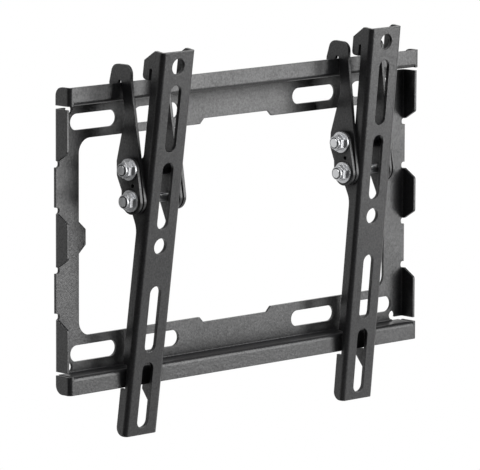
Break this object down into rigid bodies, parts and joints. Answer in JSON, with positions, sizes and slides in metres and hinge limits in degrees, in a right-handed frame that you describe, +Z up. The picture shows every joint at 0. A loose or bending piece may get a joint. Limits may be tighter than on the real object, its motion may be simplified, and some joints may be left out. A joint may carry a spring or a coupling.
{
  "type": "tv wall mount",
  "caption": "Tilting television wall mount: a folded wall plate with lipped rails and slotted arms that hook on the upper lip, slide along it and lean about a clamped pivot.",
  "frame": {"origin": "centre of the wall plate's back face, on the wall", "axes": "+Y into the wall, -Y towards the room, +Z up, +X to the right seen from the room"},
  "size_m": [0.2704, 0.0436, 0.2143],
  "materials": {
    "black_powder_coat": "fine satin powder coat",
    "zinc_plated_steel": "bright zinc plate",
    "black_nylon": "moulded matte",
    "lock_ring_nylon": "moulded satin"
  },
  "bodies": {
    "wall_plate": {"wall_plate": "black_powder_coat"},
    "left_carriage": {"left_hook_plate_nut_side": "black_powder_coat", "left_hook_plate_head_side": "black_powder_coat"},
    "left_tilt_arm": {"left_arm": "black_powder_coat", "left_clamp_plate_nut_side": "black_powder_coat", "left_clamp_plate_head_side": "black_powder_coat", "left_flat_washers_nut_side": "zinc_plated_steel", "left_flat_washers_head_side": "zinc_plated_steel", "left_pivot_bolt": "zinc_plated_steel", "left_clamp_bolt": "zinc_plated_steel", "left_pivot_nut": "zinc_plated_steel", "left_clamp_nut": "zinc_plated_steel", "left_lock_rings": "lock_ring_nylon", "left_spacer_sleeve": "black_nylon"},
    "right_carriage": {"right_hook_plate_nut_side": "black_powder_coat", "right_hook_plate_head_side": "black_powder_coat"},
    "right_tilt_arm": {"right_arm": "black_powder_coat", "right_clamp_plate_nut_side": "black_powder_coat", "right_clamp_plate_head_side": "black_powder_coat", "right_flat_washers_nut_side": "zinc_plated_steel", "right_flat_washers_head_side": "zinc_plated_steel", "right_pivot_bolt": "zinc_plated_steel", "right_clamp_bolt": "zinc_plated_steel", "right_pivot_nut": "zinc_plated_steel", "right_clamp_nut": "zinc_plated_steel", "right_lock_rings": "lock_ring_nylon", "right_spacer_sleeve": "black_nylon"}
  },
  "joints": [
    {"name": "left_rail_slide", "type": "slide", "parent": "wall_plate", "child": "left_carriage", "axis": [1, 0, 0], "range_m": [-0.0264, 0.0461]},
    {"name": "left_tilt", "type": "hinge", "parent": "left_carriage", "child": "left_tilt_arm", "pos_m": [-0.0836, -0.02355, 0.0206], "axis": [1, 0, 0], "range_deg": [-13, 0.4]},
    {"name": "right_rail_slide", "type": "slide", "parent": "wall_plate", "child": "right_carriage", "axis": [1, 0, 0], "range_m": [-0.0457, 0.0268]},
    {"name": "right_tilt", "type": "hinge", "parent": "right_carriage", "child": "right_tilt_arm", "pos_m": [0.0832, -0.02024, 0.02006], "axis": [1, 0, 0], "range_deg": [-7.7, 0.9]}
  ]
}
